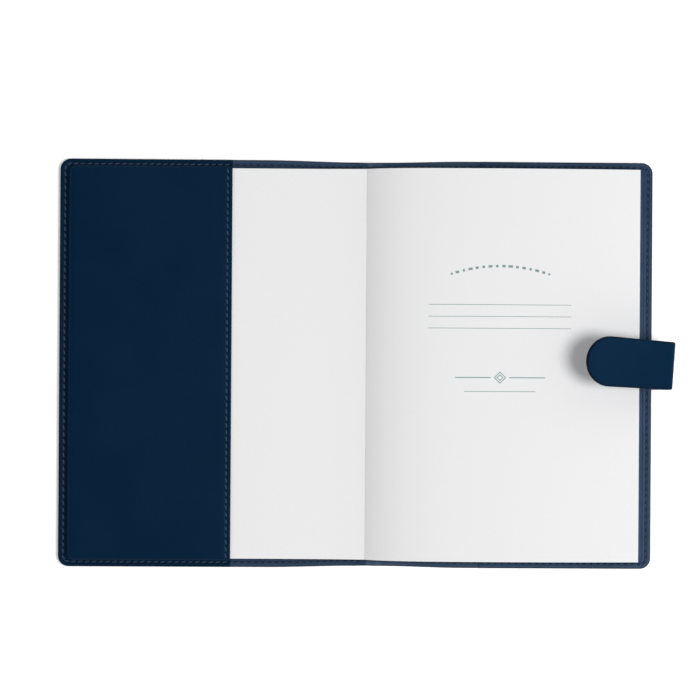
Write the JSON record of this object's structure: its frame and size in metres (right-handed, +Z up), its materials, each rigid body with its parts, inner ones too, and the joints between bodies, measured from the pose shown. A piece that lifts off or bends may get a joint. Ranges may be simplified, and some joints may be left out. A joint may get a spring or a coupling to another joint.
{
  "type": "logbook",
  "caption": "A5 log book in a refillable stitched leather cover with inner pocket flaps, open at the ownership page, with a magnetic closing tab.",
  "frame": {"origin": "bottom centre of the whole open book, on the surface it lies on", "axes": "+X from the front cover to the closing tab, +Y to the head of the book, +Z up"},
  "size_m": [0.3313, 0.2196, 0.0399],
  "materials": {
    "navy_leather": "satin, fine pebbled grain",
    "navy_lining": "smooth, matte",
    "navy_thread": "waxed thread",
    "grey_stiffener": "matte",
    "dark_board": "covered book board, matte",
    "page_paper": "uncoated white",
    "binding_gauze": "open weave",
    "spine_cloth": "book cloth",
    "magnet_steel": "plated"
  },
  "bodies": {
    "rear_cover": {"rear_outer_leather": "navy_leather", "rear_stiffener": "grey_stiffener", "rear_lining": "navy_lining", "rear_pocket_flap": "navy_leather", "notebook_rear_board": "dark_board", "rear_pastedown": "page_paper", "rear_stitching": "navy_thread", "rear_flyleaf": "page_paper", "section_06": "page_paper", "section_07": "page_paper", "section_08": "page_paper", "section_09": "page_paper", "section_10": "page_paper", "spine_gauze": "binding_gauze", "notebook_spine_cloth": "spine_cloth", "spine_leather": "navy_leather", "spine_lining": "navy_lining", "endpaper_fold": "page_paper", "tab_root_strap": "navy_leather"},
    "front_cover": {"front_outer_leather": "navy_leather", "front_stiffener": "grey_stiffener", "front_magnet_plate": "magnet_steel", "front_lining": "navy_lining", "front_pocket_flap": "navy_leather", "notebook_front_board": "dark_board", "front_pastedown": "page_paper", "front_stitching": "navy_thread", "front_flap_stitching": "navy_thread"},
    "upper_sections": {"section_01": "page_paper", "section_02": "page_paper", "section_03": "page_paper", "section_04": "page_paper", "section_05": "page_paper"},
    "title_leaf": {"title_leaf": "page_paper"},
    "tab_bend": {"tab_bend_strap": "navy_leather"},
    "tab_tip": {"tab_outer_skin": "navy_leather", "tab_inner_skin": "navy_leather", "tab_core": "grey_stiffener", "tab_magnet": "magnet_steel"}
  },
  "joints": [
    {"name": "cover_hinge", "type": "hinge", "parent": "rear_cover", "child": "front_cover", "pos_m": [-0.00532, 0, 0.01242], "axis": [0, 1, 0], "range_deg": [0, 179.5], "deforming": ["spine_leather", "spine_lining", "endpaper_fold"]},
    {"name": "section_turn", "type": "hinge", "parent": "rear_cover", "child": "upper_sections", "pos_m": [-0.00017, 0, 0.01244], "axis": [0, 1, 0], "range_deg": [-179.5, 0]},
    {"name": "leaf_turn", "type": "hinge", "parent": "upper_sections", "child": "title_leaf", "pos_m": [-0.00017, 0, 0.01244], "axis": [0, 1, 0], "range_deg": [-179.5, 0]},
    {"name": "tab_swing", "type": "hinge", "parent": "rear_cover", "child": "tab_bend", "pos_m": [0.16605, 0, 0.01477], "axis": [0, 1, 0], "range_deg": [0, 150]},
    {"name": "tab_press", "type": "hinge", "parent": "tab_bend", "child": "tab_tip", "pos_m": [0.15475, 0.0007, 0.02954], "axis": [-0.0663, -0.9978, 0], "range_deg": [-30, 16], "stiffness_Nm_per_rad": 0.03}
  ]
}
